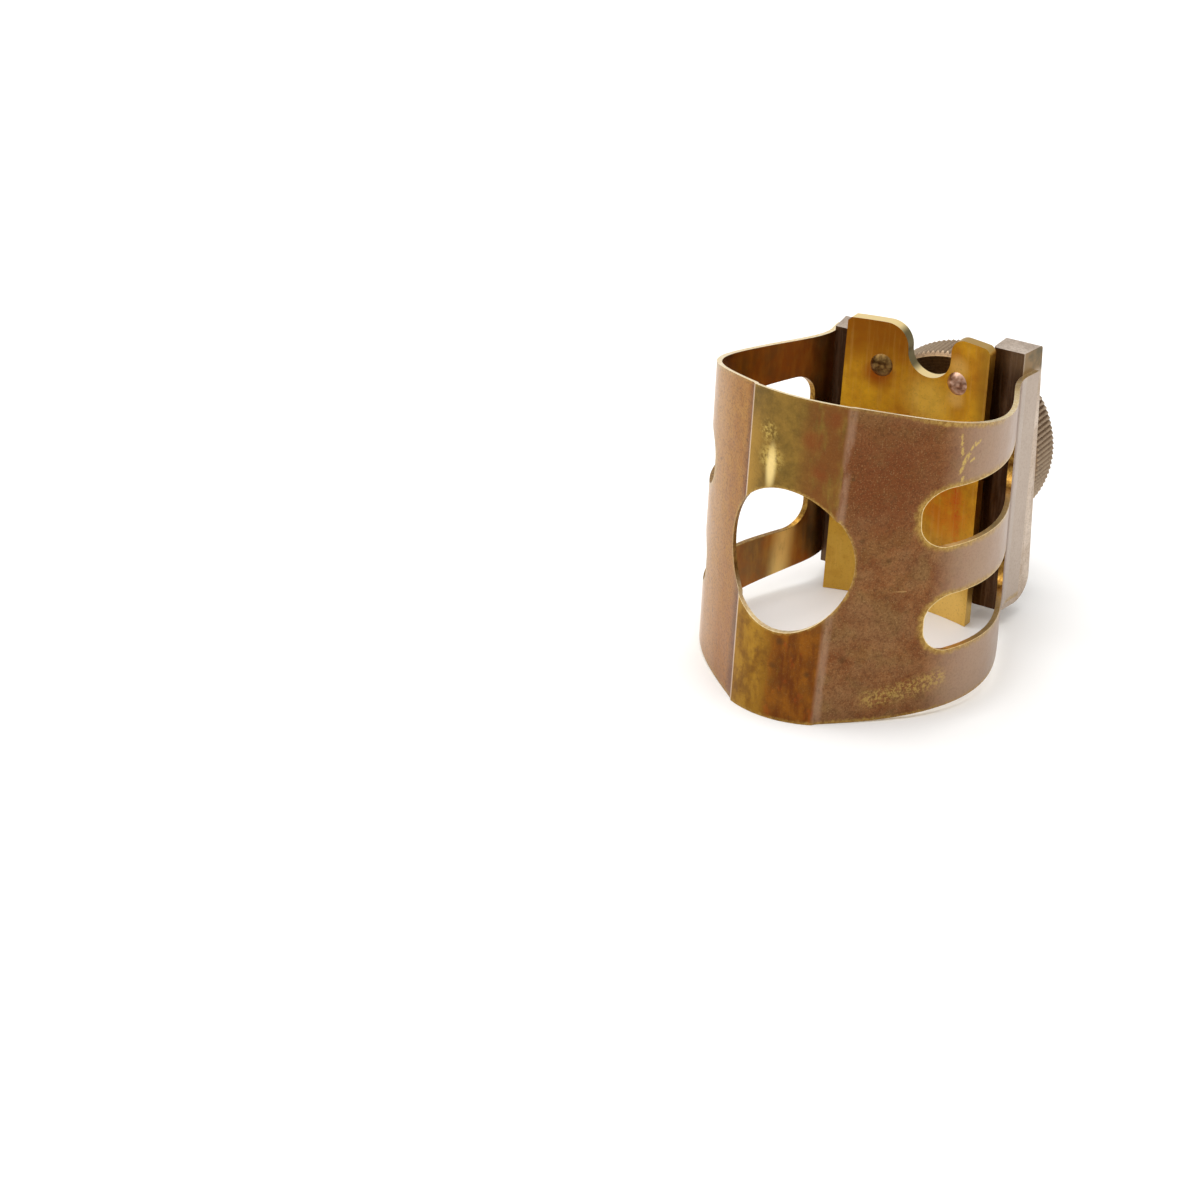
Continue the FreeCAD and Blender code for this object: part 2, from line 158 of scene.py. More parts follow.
def cloud(bench, place, grain_mm, detail=3.0, rough=0.55, stretch=None):
    """Blotchy pattern from 0 to 1 whose patches are about grain_mm across."""
    if stretch is not None:
        place = step(bench, "ShaderNodeVectorMath", {"operation": "MULTIPLY"},
                     {0: place, 1: stretch}).outputs[0]
    feeds = {"Vector": place, "Scale": 1.0 / grain_mm, "Detail": detail, "Roughness": rough}
    return step(bench, "ShaderNodeTexNoise", {}, feeds).outputs["Fac"]


def tone(red, green, blue):
    """A colour by the 0 to 255 numbers of a paint chart, turned into light."""
    parts_of_light = []
    for c in (red, green, blue):
        c = c / 255.0
        parts_of_light.append(c / 12.92 if c <= 0.04045 else ((c + 0.055) / 1.055) ** 2.4)
    return (*parts_of_light, 1.0)


def over(bench, share, below, above):
    """The colour above laid over the colour below by a share from 0 to 1."""
    made = bench.nodes.new("ShaderNodeMix")
    made.data_type = "RGBA"
    for socket, value in ((made.inputs[0], share), (made.inputs[6], below), (made.inputs[7], above)):
        if isinstance(value, bpy.types.NodeSocket):
            bench.links.new(value, socket)
        else:
            socket.default_value = value
    return made.outputs[2]


def whereabouts(bench):
    """The position in mm, as a whole and as x, y and z, and the way the surface faces."""
    spot = bench.nodes.new("ShaderNodeTexCoord")
    place = step(bench, "ShaderNodeVectorMath", {"operation": "SCALE"},
                 {"Vector": spot.outputs["Object"], "Scale": MM_PER_METRE}).outputs[0]
    xyz = step(bench, "ShaderNodeSeparateXYZ", {}, {0: place}).outputs
    facing = step(bench, "ShaderNodeSeparateXYZ", {}, {0: spot.outputs["Normal"]}).outputs
    return place, xyz, facing


def relief(bench, skin, height, depth_mm):
    """Raises and lowers the surface a little by a pattern."""
    bump = step(bench, "ShaderNodeBump", {}, {"Height": height, "Distance": depth_mm * MM, "Strength": 1.0})
    bench.links.new(bump.outputs["Normal"], skin.inputs["Normal"])


def dress(node_name, material):
    """Gives a loaded piece its finish."""
    mesh = parts[node_name].data
    mesh.materials.clear()
    mesh.materials.append(material)


print("bench helpers ready")

# %% [markdown]
# ## Nearest cut edge
# On thin old brass the edges tell the story: where a saw or a punch has cut the sheet, the tarnish is
# rubbed off and a thin gold rim is left. To paint that rim, the finish has to know how far each spot is
# from the nearest cut: the upper edge, the lower edge, the big hole or one of the four slots. The hole
# is a little taller than wide, as a punched hole becomes when its sheet is bent. Towards the screw the
# upper edge falls and the lower edge rises in a gentle curve, so a short sum in y follows each of them.

# %% Distance to the cuts of the band
HOLE_Z = 14.25
HOLE_HALF_W = 5.75
HOLE_HALF_H = 6.3
SLOTS = ((2.05, 18.275, 8.75, 2.675), (2.3, 8.5, 8.5, 2.6))
SLOT_CORNER = 2.2
UPPER_CURVE = (25.693, -0.21234, 0.006004, 0.00016989)
LOWER_CURVE = (0.87724, 0.098727, 0.0018554, -0.000045047)
HOLE_ENDS_Y = (-7.0, -5.0)
FAR_AWAY = 50.0


def curve_height(bench, y, terms):
    """Height of a long edge where the band is at y."""
    total = terms[-1]
    for term in reversed(terms[:-1]):
        total = calc(bench, "ADD", calc(bench, "MULTIPLY", y, total), term)
    return total


def cut_distance(bench, xyz):
    """Rough distance in mm to the upper edge, the lower edge, the hole and the nearest slot."""
    x, y, z = xyz
    up = calc(bench, "SUBTRACT", curve_height(bench, y, UPPER_CURVE), z)
    down = calc(bench, "SUBTRACT", z, curve_height(bench, y, LOWER_CURVE))
    from_axis = calc(bench, "SUBTRACT", z, HOLE_Z)
    across = calc(bench, "DIVIDE", x, HOLE_HALF_W)
    along = calc(bench, "DIVIDE", from_axis, HOLE_HALF_H)
    square = calc(bench, "ADD", calc(bench, "MULTIPLY", across, across),
                  calc(bench, "MULTIPLY", along, along))
    hole = calc(bench, "MULTIPLY", calc(bench, "SUBTRACT", calc(bench, "SQRT", square), 1.0), HOLE_HALF_H)
    behind = calc(bench, "MULTIPLY", fade(bench, y, *HOLE_ENDS_Y), FAR_AWAY)
    hole = calc(bench, "ADD", hole, behind)
    slot = None
    for middle_y, middle_z, half_y, half_z in SLOTS:
        dy = calc(bench, "ABSOLUTE", calc(bench, "SUBTRACT", y, middle_y))
        dz = calc(bench, "ABSOLUTE", calc(bench, "SUBTRACT", z, middle_z))
        dy = calc(bench, "MAXIMUM", calc(bench, "SUBTRACT", dy, half_y - SLOT_CORNER), 0.0)
        dz = calc(bench, "MAXIMUM", calc(bench, "SUBTRACT", dz, half_z - SLOT_CORNER), 0.0)
        reach = calc(bench, "ADD", calc(bench, "MULTIPLY", dy, dy), calc(bench, "MULTIPLY", dz, dz))
        gap = calc(bench, "SUBTRACT", calc(bench, "SQRT", reach), SLOT_CORNER)
        slot = gap if slot is None else calc(bench, "MINIMUM", slot, gap)
    return up, down, hole, slot


print("cuts: 2 long edges, 1 hole,", 2 * len(SLOTS), "slots")

# %% [markdown]
# ## Marks left by use
# A spot is a stain or a worn place, and a stroke is a scratch. They are placed one at a time, where
# fingers and the case rub. Each comes back as a share from 0 to 1, so that any colour can be laid
# through it.


# %% Spot and stroke
def spot_mark(bench, place, centre, size):
    """1 at a place on the piece and 0 beyond a distance of size, both in mm."""
    gap = step(bench, "ShaderNodeVectorMath", {"operation": "DISTANCE"}, {0: place, 1: centre})
    return fade(bench, gap.outputs["Value"], size, size * 0.25)


def stroke(bench, place, start, end, width):
    """1 along a straight scratch from start to end, and 0 beyond its half width, all in mm."""
    run = Vector(end) - Vector(start)
    from_start = step(bench, "ShaderNodeVectorMath", {"operation": "SUBTRACT"},
                      {0: place, 1: start}).outputs[0]
    along = step(bench, "ShaderNodeVectorMath", {"operation": "DOT_PRODUCT"},
                 {0: from_start, 1: run / run.length_squared}).outputs["Value"]
    along = step(bench, "ShaderNodeClamp", {}, {"Value": along}).outputs[0]
    nearest = step(bench, "ShaderNodeVectorMath", {"operation": "SCALE"},
                   {"Vector": tuple(run), "Scale": along}).outputs[0]
    gap = step(bench, "ShaderNodeVectorMath", {"operation": "DISTANCE"}, {0: from_start, 1: nearest})
    return fade(bench, gap.outputs["Value"], width, width * 0.2)


print("marks ready: a spot and a stroke")

# %% [markdown]
# ## The band: tarnished sheet
# The band is one strip of thin sheet brass, cut, punched and bent round a former. Its outside has a
# blotchy red-brown tarnish, and the left front is more golden. The walls are painted a paler pinkish grey
# where they turn towards the screw, and the left wall is painted lighter towards its outer edge, where it
# turns pinkish white: both are painted sheen. The recipe has four steps: the walls, the raised panel, the
# specks and scratches, and last the rims, the inside and the cut faces. That order goes from the broad
# stain to the finest line, so nothing that is laid down early hides a later mark.

# %% Band finish
FLAP_Y = (11.4, 12.6)
sheet, bench, skin = new_finish("tarnished_sheet", 1.0, 0.4)
skin.inputs["Coat Weight"].default_value = 0.14
skin.inputs["Coat Roughness"].default_value = 0.32
place, xyz, facing = whereabouts(bench)
x, y, z = xyz
up, down, hole, slot = cut_distance(bench, xyz)

blotch = cloud(bench, place, 4.5, 4.0, 0.6)
patch = cloud(bench, place, 1.5, 5.0, 0.65)
smear = cloud(bench, place, 0.9, 4.0, 0.6, (1.0, 1.0, 0.3))
speck = cloud(bench, place, 0.2, 3.0, 0.65)
grit = cloud(bench, place, 0.11, 1.0, 0.5)

brown = over(bench, fade(bench, patch, 0.3, 0.7), tone(108, 60, 28), tone(136, 92, 54))
wall_tone = over(bench, calc(bench, "MULTIPLY", fade(bench, blotch, 0.42, 0.62), 0.5), brown, tone(132, 98, 64))
mottle = calc(bench, "MULTIPLY", fade(bench, cloud(bench, place, 0.55, 5.0, 0.7), 0.46, 0.62), 0.35)
wall_tone = over(bench, mottle, wall_tone, tone(92, 56, 30))
greenish = fade(bench, cloud(bench, place, 2.4, 4.0, 0.6), 0.48, 0.62)
wall_tone = over(bench, calc(bench, "MULTIPLY", greenish, 0.16), wall_tone, tone(112, 98, 50))
width_out = calc(bench, "ABSOLUTE", x)
# painted sheen: the walls are painted a pale pinkish grey where they turn towards the screw
wall_tone = over(bench, calc(bench, "MULTIPLY", fade(bench, width_out, 10.4, 13.2), 0.8), wall_tone,
               tone(166, 140, 118))
high_red = calc(bench, "MULTIPLY", spot_mark(bench, place, (7.6, -9.5, 22.0), 7.5),
                fade(bench, patch, 0.25, 0.6))
wall_tone = over(bench, calc(bench, "MULTIPLY", high_red, 0.85), wall_tone, tone(106, 54, 24))
left_tone = over(bench, fade(bench, patch, 0.3, 0.7), tone(150, 98, 36), tone(166, 118, 52))
low_down = calc(bench, "MULTIPLY", fade(bench, z, 14.0, 3.0), 0.6)
left_tone = over(bench, low_down, left_tone, tone(156, 100, 44))
# painted sheen: the left wall is painted lighter towards the left and pinkish white at its outer front edge
painted_left_lightening = calc(bench, "MULTIPLY", fade(bench, x, -6.5, -9.5), 0.5)
left_tone = over(bench, painted_left_lightening, left_tone, tone(188, 144, 92))
painted_edge_sheen = calc(bench, "MULTIPLY", fade(bench, x, -9.8, -12.4), fade(bench, y, -0.5, -3.5))
left_tone = over(bench, calc(bench, "MULTIPLY", painted_edge_sheen, 0.7), left_tone, tone(236, 212, 190))
left_front = calc(bench, "MULTIPLY", fade(bench, x, -4.4, -5.4), fade(bench, y, 3.0, -2.0))
wall_tone = over(bench, left_front, wall_tone, left_tone)
flap = fade(bench, y, *FLAP_Y)
wall_tone = over(bench, flap, wall_tone, tone(174, 158, 144))
print("wall tones ready")

# %% [markdown]
# ## The raised panel
# The panel is pressed forward out of the same sheet, so it stands proud and is rubbed before the rest. It
# is olive where the tarnish is thin, gold low on the left where the tarnish has gone, and rust brown low
# on the right. High on the left it is painted lighter gold, as the glow of a highlight.
# It widens a little towards the top, so its colour is bounded by a half width that grows with height.

# %% Raised panel
PANEL_HALF_FOOT = 3.92
PANEL_SPREAD = 0.0175
PANEL_Y = (-7.5, -8.5)
RUST_SPOTS = (((1.7, -11.3, 25.2), 1.3), ((3.5, -10.9, 27.2), 1.0), ((2.7, -11.4, 22.6), 1.1))
olive = over(bench, fade(bench, patch, 0.3, 0.7), tone(104, 80, 32), tone(138, 106, 44))
high_rust = calc(bench, "MULTIPLY", fade(bench, x, -0.4, 2.6), fade(bench, smear, 0.26, 0.56))
olive = over(bench, calc(bench, "MULTIPLY", high_rust, 0.8), olive, tone(114, 64, 28))
for centre, size in RUST_SPOTS:
    rust = calc(bench, "MULTIPLY", spot_mark(bench, place, centre, size), fade(bench, patch, 0.25, 0.65))
    olive = over(bench, calc(bench, "MULTIPLY", rust, 0.7), olive, tone(120, 62, 26))
# painted highlight: a golden glow high on the left of the panel, beside the glint above the hole
painted_left_glow = calc(bench, "MULTIPLY", fade(bench, x, -2.4, -4.2), fade(bench, z, 27.0, 24.0))
olive = over(bench, calc(bench, "MULTIPLY", painted_left_glow, 0.6), olive, tone(176, 134, 50))
foot_gold = over(bench, fade(bench, smear, 0.35, 0.65), tone(132, 90, 20), tone(158, 116, 34))
foot_rust = over(bench, fade(bench, smear, 0.32, 0.7), tone(94, 46, 6), tone(132, 78, 14))
foot_red = fade(bench, cloud(bench, place, 0.7, 3.0, 0.6, (1.0, 1.0, 0.45)), 0.58, 0.7)
foot_rust = over(bench, calc(bench, "MULTIPLY", foot_red, 0.5), foot_rust, tone(142, 66, 18))
tilt = calc(bench, "ADD", x, calc(bench, "MULTIPLY", calc(bench, "SUBTRACT", smear, 0.5), 4.0))
foot = over(bench, fade(bench, tilt, -1.2, 0.6), foot_gold, foot_rust)
foot = over(bench, calc(bench, "MULTIPLY", fade(bench, patch, 0.46, 0.64), 0.5), foot, tone(98, 58, 16))
panel_tone = over(bench, fade(bench, z, 10.5, 8.0), olive, foot)
panel_edge = calc(bench, "ADD", calc(bench, "MULTIPLY", z, PANEL_SPREAD), PANEL_HALF_FOOT)
off_panel = calc(bench, "SUBTRACT", calc(bench, "ABSOLUTE", x), panel_edge)
in_front = fade(bench, y, *PANEL_Y)
on_panel = calc(bench, "MULTIPLY", fade(bench, off_panel, 0.12, -0.02), in_front)
colour = over(bench, on_panel, wall_tone, panel_tone)
print("panel half width in mm at its foot:", PANEL_HALF_FOOT)

# %% [markdown]
# ## Specks, scratches and rubbed places
# Years of handling leave dark specks, bright pinholes and a few scratches that go down to gold. The
# specks come from fine clouds, because no single one of them matters. The scratches are placed one by
# one and then shaken by a cloud, so that none of them is a ruled line.

# %% Specks, scratches and rubbed places
RUBBED_SPOTS = (((-1.9, -11.7, 22.8), 1.7, 0.36, 0.6), ((-2.4, -11.4, 25.0), 1.3, 0.42, 0.66))
SCRATCHES = (
    ((11.6, -4.1, 25.5), (11.65, -4.0, 24.7), 0.15),
    ((11.7, -3.95, 24.3), (11.7, -3.9, 23.8), 0.15),
    ((12.25, -2.7, 24.5), (12.15, -3.0, 24.1), 0.15),
    ((12.0, -3.3, 23.6), (11.85, -3.7, 23.0), 0.26),
    ((12.3, -2.6, 23.2), (12.15, -3.0, 23.0), 0.14),
    ((11.8, -3.8, 22.6), (11.7, -4.0, 22.2), 0.18),
    ((12.5, -2.1, 24.6), (12.3, -2.6, 24.3), 0.15),
    ((11.85, -3.7, 21.7), (11.8, -3.8, 21.4), 0.16),
)
SCRATCH_SPREAD = 1.3
DARK_SPOTS = (
    ((8.0, -8.6, 14.9), 0.4),
    ((5.5, -11.0, 5.9), 0.5),
    ((6.1, -9.9, 16.7), 0.35),
    ((0.2, -13.3, 4.9), 0.45),
    ((0.7, -13.1, 7.2), 0.5),
    ((3.2, -12.9, 4.6), 0.4),
)
smooth_end = calc(bench, "MAXIMUM", flap, fade(bench, width_out, 10.2, 12.2))
smooth = calc(bench, "MULTIPLY", calc(bench, "MAXIMUM", smooth_end, on_panel), 0.7)
plain = calc(bench, "SUBTRACT", 1.0, smooth)
dirt = calc(bench, "MULTIPLY", calc(bench, "MULTIPLY", fade(bench, speck, 0.54, 0.36), 0.42), plain)
colour = over(bench, dirt, colour, tone(70, 44, 22))
bright_grit = calc(bench, "MULTIPLY", calc(bench, "MULTIPLY", fade(bench, grit, 0.54, 0.8), 0.36), plain)
colour = over(bench, bright_grit, colour, tone(172, 136, 90))
pit = calc(bench, "MULTIPLY", fade(bench, cloud(bench, place, 0.75, 2.0, 0.5), 0.3, 0.24), 0.55)
pit = calc(bench, "MULTIPLY", pit, plain)
colour = over(bench, pit, colour, tone(88, 60, 34))

fine = cloud(bench, place, 0.3, 4.0, 0.7)
rubbed = None
for centre, size, start, end in RUBBED_SPOTS:
    mark = calc(bench, "MULTIPLY", spot_mark(bench, place, centre, size), fade(bench, fine, start, end))
    rubbed = mark if rubbed is None else calc(bench, "MAXIMUM", rubbed, mark)
shaky = step(bench, "ShaderNodeVectorMath", {"operation": "ADD"},
             {0: place, 1: calc(bench, "MULTIPLY", calc(bench, "SUBTRACT", fine, 0.5), 0.9)}).outputs[0]
for start, end, width in SCRATCHES:
    line = stroke(bench, shaky, start, end, width * SCRATCH_SPREAD)
    mark = calc(bench, "MULTIPLY", line, fade(bench, fine, 0.34, 0.5))
    rubbed = calc(bench, "MAXIMUM", rubbed, mark)
worn_band = calc(bench, "MULTIPLY", stroke(bench, place, (7.4, -9.4, 2.1), (11.7, -4.9, 3.4), 1.3),
                 fade(bench, cloud(bench, place, 0.3, 4.0, 0.75), 0.44, 0.6))
rubbed = calc(bench, "MAXIMUM", rubbed, calc(bench, "MULTIPLY", worn_band, 0.6))
colour = over(bench, calc(bench, "MULTIPLY", rubbed, 0.65), colour, tone(206, 176, 92))
hairline = stroke(bench, place, (5.9, -10.25, 12.15), (9.3, -7.5, 12.0), 0.09)
colour = over(bench, calc(bench, "MULTIPLY", hairline, 0.7), colour, tone(170, 132, 82))
for centre, size in DARK_SPOTS:
    colour = over(bench, calc(bench, "MULTIPLY", spot_mark(bench, place, centre, size), 0.55), colour,
                  tone(70, 46, 20))
glint = spot_mark(bench, step(bench, "ShaderNodeVectorMath", {"operation": "MULTIPLY"},
                              {0: place, 1: (2.2, 1.0, 0.55)}).outputs[0], (-4.0, -11.8, 12.1), 1.5)
colour = over(bench, calc(bench, "MULTIPLY", glint, 0.8), colour, tone(240, 212, 140))

# painted highlight: a thin pale line along the left crease of the raised panel
crease_highlight_line = fade(bench, calc(bench, "ABSOLUTE", calc(bench, "SUBTRACT", off_panel, 0.02)), 0.15, 0.04)
left_crease_highlight = calc(bench, "MULTIPLY", crease_highlight_line, fade(bench, x, 0.1, -0.1))
left_crease_highlight = calc(bench, "MULTIPLY", left_crease_highlight, in_front)
colour = over(bench, calc(bench, "MULTIPLY", left_crease_highlight, 0.7), colour, tone(232, 204, 176))
# painted highlight: a pale strip along the right fold of the raised panel
fold_highlight_band = fade(bench, calc(bench, "ABSOLUTE", calc(bench, "SUBTRACT", off_panel, 0.22)), 0.45, 0.05)
right_fold_highlight = calc(bench, "MULTIPLY", fold_highlight_band, fade(bench, x, -0.1, 0.1))
right_fold_highlight = calc(bench, "MULTIPLY", right_fold_highlight, in_front)
right_fold_highlight = calc(bench, "MULTIPLY", right_fold_highlight, fade(bench, smear, 0.3, 0.55))
colour = over(bench, calc(bench, "MULTIPLY", right_fold_highlight, 0.4), colour, tone(172, 138, 112))
print("scratches:", len(SCRATCHES))

# %% [markdown]
# ## Rims, inside and cut faces
# Rubbing keeps the corners of a cut bright, so each cut gets a thin gold line. A cloud makes its distance
# ragged, and the line comes and goes. The inside has never been polished and is orange brown, with a
# few bright strips where light gets in by the screw. The cut faces, one sheet thick, are the brightest of
# all. The side faces of the hole are painted darker as shade, and the cut faces in the left slots and at
# the slot ends by the screw are darker too.

# %% Rims, inside and cut faces
OPENING_MIDDLE_Y = 1.0
BRIGHT_STRIPS = (
    ((-11.6, 8.2, 1.0), (-11.3, 8.8, 6.0), 1.9, tone(250, 214, 130)),
    ((-10.4, 10.9, 2.0), (-10.4, 10.9, 6.0), 0.8, tone(220, 200, 180)),
    ((-12.9, 4.9, 1.0), (-12.9, 4.9, 6.0), 0.9, tone(196, 150, 80)),
)
ragged = calc(bench, "MULTIPLY", calc(bench, "SUBTRACT", cloud(bench, place, 0.5, 4.0, 0.65), 0.5), 0.7)
upper_rim = calc(bench, "ADD", up, ragged)
wide_part = calc(bench, "MULTIPLY", fade(bench, y, -8.5, -5.0), fade(bench, y, 3.0, 0.0))
upper_rim = calc(bench, "SUBTRACT", upper_rim, calc(bench, "MULTIPLY", wide_part, 0.28))
rim_share = calc(bench, "ADD", calc(bench, "MULTIPLY", wide_part, 0.35), 0.3)
long_rim = calc(bench, "MULTIPLY", fade(bench, upper_rim, 0.28, -0.05), rim_share)
lower_rim = calc(bench, "MULTIPLY", fade(bench, calc(bench, "ADD", down, ragged), 0.4, 0.0), 0.6)
hole_rim = calc(bench, "MULTIPLY", fade(bench, calc(bench, "ADD", hole, ragged), 0.3, 0.02), 0.55)
slot_rim = calc(bench, "MULTIPLY", fade(bench, calc(bench, "ADD", slot, ragged), 0.62, 0.06), 0.75)
rim = calc(bench, "MAXIMUM", calc(bench, "MAXIMUM", long_rim, lower_rim),
           calc(bench, "MAXIMUM", hole_rim, slot_rim))
colour = over(bench, rim, colour, over(bench, fade(bench, fine, 0.35, 0.65), tone(138, 106, 44),
                                       tone(188, 154, 80)))

inside_tone = over(bench, fade(bench, blotch, 0.35, 0.65), tone(152, 92, 32), tone(124, 92, 50))
inside_tone = over(bench, calc(bench, "MULTIPLY", fade(bench, smear, 0.4, 0.7), 0.5), inside_tone,
                   tone(176, 126, 52))
for start, end, width, strip_tone in BRIGHT_STRIPS:
    strip = calc(bench, "MULTIPLY", stroke(bench, place, start, end, width), fade(bench, smear, 0.05, 0.5))
    inside_tone = over(bench, calc(bench, "MULTIPLY", strip, 0.85), inside_tone, strip_tone)
radial = calc(bench, "ADD", calc(bench, "MULTIPLY", x, facing[0]),
              calc(bench, "MULTIPLY", calc(bench, "SUBTRACT", y, OPENING_MIDDLE_Y), facing[1]))
inside = fade(bench, radial, -0.5, -1.5)
colour = over(bench, inside, colour, inside_tone)

flat_cut = fade(bench, calc(bench, "ABSOLUTE", facing[2]), 0.5, 0.75)
round_cut = fade(bench, calc(bench, "ABSOLUTE", calc(bench, "MINIMUM", hole, slot)), 0.06, 0.03)
cut = calc(bench, "MAXIMUM", flat_cut, round_cut)
bright_cut = over(bench, fade(bench, fine, 0.35, 0.7), tone(236, 208, 148), tone(255, 240, 204))
dull_cut = over(bench, fade(bench, fine, 0.35, 0.65), tone(122, 84, 30), tone(168, 128, 56))
# painted shade on the side faces of the hole; the cut faces in the left slots and at the slot ends by the
# screw are darker too
hole_shade_and_dark_slots = calc(bench, "MULTIPLY", fade(bench, z, 9.5, 11.5), fade(bench, z, 22.0, 20.5))
hole_shade_and_dark_slots = calc(bench, "MULTIPLY", hole_shade_and_dark_slots, calc(bench, "MULTIPLY", round_cut, in_front))
slot_cut = fade(bench, calc(bench, "ABSOLUTE", slot), 0.06, 0.03)
far_cut = calc(bench, "MAXIMUM", fade(bench, y, 7.5, 9.0), fade(bench, x, 0.0, -1.0))
hole_shade_and_dark_slots = calc(bench, "MAXIMUM", hole_shade_and_dark_slots, calc(bench, "MULTIPLY", slot_cut, far_cut))
bright_cut = over(bench, calc(bench, "MULTIPLY", slot_cut, 0.6), bright_cut, tone(190, 158, 92))
bright_cut = over(bench, hole_shade_and_dark_slots, bright_cut, dull_cut)
colour = over(bench, cut, colour, bright_cut)
bench.links.new(colour, skin.inputs["Base Color"])

gloss = calc(bench, "ADD", calc(bench, "MULTIPLY", patch, 0.2), 0.27)
gloss = calc(bench, "SUBTRACT", gloss, calc(bench, "MULTIPLY", rim, 0.06))
bench.links.new(gloss, skin.inputs["Roughness"])
dents = cloud(bench, place, 2.6, 2.0, 0.5)
grain = calc(bench, "ADD", speck, calc(bench, "MULTIPLY", grit, 0.5))
relief(bench, skin, calc(bench, "ADD", grain, calc(bench, "MULTIPLY", dents, 9.0)), 0.008)
dress("band", sheet)
print("band finish steps:", len(bench.nodes))

# %% [markdown]
# ## Rails, bridge and bush: dull bar
# The rails are sawn from bar and soldered on. Heat and flux left them a flat pinkish grey, with fine lines
# along their length from the draw bench. Their front faces and the faces that look into the opening are
# darker, partly from flux stain and partly as painted shade. The same finish serves the bridge and the
# bush, which could come from the same stock. The right rail's outer face is bare and olive near its top,
# where it is handled.

# %% Bar finish
RAIL_FACE_X = (9.1, 9.2)
BARE_TOP_Z = (23.6, 24.6)
bar, bench, skin = new_finish("dull_bar", 1.0, 0.42)
skin.inputs["Coat Weight"].default_value = 0.25
skin.inputs["Coat Roughness"].default_value = 0.35
place, xyz, facing = whereabouts(bench)
x, y, z = xyz
stain = cloud(bench, place, 3.0, 4.0, 0.6)
lines = cloud(bench, place, 0.35, 3.0, 0.6, (1.0, 1.0, 0.06))
specks = cloud(bench, place, 0.16, 2.0, 0.6)
colour = over(bench, fade(bench, stain, 0.35, 0.65), tone(180, 160, 140), tone(204, 188, 172))
# partly painted shade: the front faces and the faces that look into the opening are painted dark, together
# with the flux stain
inward = fade(bench, calc(bench, "MULTIPLY", x, facing[0]), -2.0, -4.0)
burnt_and_shaded = calc(bench, "MAXIMUM", fade(bench, facing[1], -0.4, -0.8), inward)
near_top = fade(bench, calc(bench, "ADD", z, calc(bench, "MULTIPLY", stain, 2.0)), 24.5, 27.0)
burnt_and_shaded_tone = over(bench, calc(bench, "MULTIPLY", near_top, fade(bench, x, 0.0, 1.0)), tone(66, 40, 14),
                  tone(112, 86, 58))
colour = over(bench, burnt_and_shaded, colour, burnt_and_shaded_tone)
colour = over(bench, calc(bench, "MULTIPLY", fade(bench, lines, 0.45, 0.62), 0.3), colour, tone(140, 114, 90))
colour = over(bench, calc(bench, "MULTIPLY", fade(bench, specks, 0.5, 0.36), 0.3), colour, tone(88, 66, 48))
bare_top = calc(bench, "MULTIPLY", fade(bench, x, *RAIL_FACE_X), fade(bench, facing[0], 0.5, 0.8))
bare_top = calc(bench, "MULTIPLY", bare_top, fade(bench, z, *BARE_TOP_Z))
colour = over(bench, bare_top, colour, over(bench, fade(bench, stain, 0.4, 0.6), tone(86, 74, 46),
                                            tone(132, 104, 64)))
bench.links.new(colour, skin.inputs["Base Color"])
bench.links.new(calc(bench, "ADD", calc(bench, "MULTIPLY", stain, 0.2), 0.3), skin.inputs["Roughness"])
relief(bench, skin, calc(bench, "ADD", calc(bench, "MULTIPLY", lines, 0.5), specks), 0.006)
for name in ("rail_left", "rail_right", "bridge", "screw_bush"):
    dress(name, bar)
print("bar finish steps:", len(bench.nodes))

# %% [markdown]
# ## Pressure plate: golden brass
# The plate is thicker, was polished before it was fitted, and has kept its gold. Heat has stained it
# red-brown by the left rivet and orange low on the right, and its foot, which rubs on the reed, is the
# palest. A pale golden glow above the right rivet and a bright streak below it are painted reflection.
# Long faint strokes along z are left from the polishing. The strap behind it is out of sight and is given
# the same finish.

# %% Plate finish
PLATE_Y = 12.0
RED_STREAKS = (
    ((4.6, PLATE_Y, 12.6), (4.9, PLATE_Y, 10.2), 0.9),
    ((5.0, PLATE_Y, 9.4), (5.0, PLATE_Y, 6.6), 0.8),
)
gold, bench, skin = new_finish("golden_plate", 1.0, 0.4)
place, xyz, facing = whereabouts(bench)
x, y, z = xyz
stain = cloud(bench, place, 3.2, 4.0, 0.6)
strokes = cloud(bench, place, 0.3, 3.0, 0.6, (1.0, 1.0, 0.05))
specks = cloud(bench, place, 0.2, 3.0, 0.65)
golden = over(bench, fade(bench, stain, 0.3, 0.7), tone(232, 176, 44), tone(198, 132, 36))
golden = over(bench, fade(bench, z, 12.0, 4.0), golden, tone(204, 162, 70))
bright_middle = spot_mark(bench, place, (0.8, PLATE_Y, 20.4), 3.2)
golden = over(bench, calc(bench, "MULTIPLY", bright_middle, 0.7), golden, tone(255, 214, 92))
worn = cloud(bench, place, 1.5, 5.0, 0.65)
golden = over(bench, calc(bench, "MULTIPLY", fade(bench, worn, 0.44, 0.62), 0.22), golden, tone(160, 104, 24))
right_edge = calc(bench, "MULTIPLY", fade(bench, x, 5.2, 6.6), fade(bench, z, 15.0, 18.0))
golden = over(bench, calc(bench, "MULTIPLY", right_edge, 0.6), golden, tone(150, 112, 40))
left_low = spot_mark(bench, place, (-3.9, PLATE_Y, 21.9), 2.0)
golden = over(bench, calc(bench, "MULTIPLY", left_low, 0.8), golden, tone(158, 74, 18))
